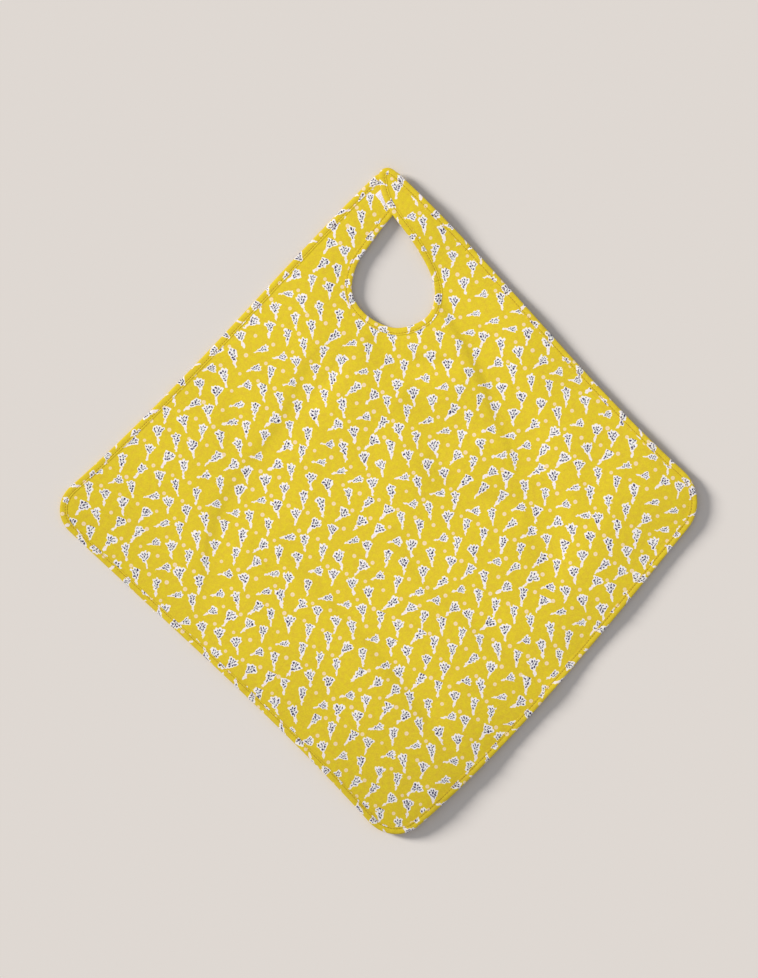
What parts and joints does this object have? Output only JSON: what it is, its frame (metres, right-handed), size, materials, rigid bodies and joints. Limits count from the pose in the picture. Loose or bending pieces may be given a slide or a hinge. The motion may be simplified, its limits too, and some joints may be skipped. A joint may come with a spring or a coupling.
{
  "type": "square weaning bib",
  "caption": "Large square cotton bib with a bound edge, a neck opening at one corner and overlapping neck straps that close with hook-and-loop tape.",
  "frame": {"origin": "on the surface that the bib lies on, under the middle of its outline", "axes": "+Z out of the printed face, +Y from the hem corner towards the neck, +X to the right as the printed face is seen with the neck at the top"},
  "size_m": [0.663, 0.6932, 0.0112],
  "materials": {
    "printed_cotton": "plain-weave yellow cotton printed with small white flower sprigs and pale dots",
    "binding_cotton": "bias-cut folded strip of the same printed cotton",
    "interlining_wadding": "thin white needled wadding",
    "lining_cotton": "plain-weave cream cotton",
    "sewing_thread": "golden brown spun polyester thread",
    "tape_thread": "white spun polyester thread",
    "loop_tape": "white brushed nylon loop pile on a woven base",
    "hook_tape": "white nylon hooks on a woven base"
  },
  "bodies": {
    "bib_body": {"front_panel": "printed_cotton", "interlining": "interlining_wadding", "back_panel": "lining_cotton", "edge_binding": "binding_cotton", "edge_stitching": "sewing_thread", "loop_patch": "loop_tape", "loop_patch_stitching": "tape_thread"},
    "right_strap": {"right_strap_front_panel": "printed_cotton", "right_strap_interlining": "interlining_wadding", "right_strap_back_panel": "lining_cotton", "right_strap_binding": "binding_cotton", "right_strap_stitching": "sewing_thread", "hook_patch": "hook_tape", "hook_patch_stitching": "tape_thread"}
  },
  "joints": [
    {"name": "strap_peel", "type": "hinge", "parent": "bib_body", "child": "right_strap", "pos_m": [0.069, 0.2575, 0.0054], "axis": [0.7193, 0.6947, 0], "range_deg": [0, 150]}
  ]
}
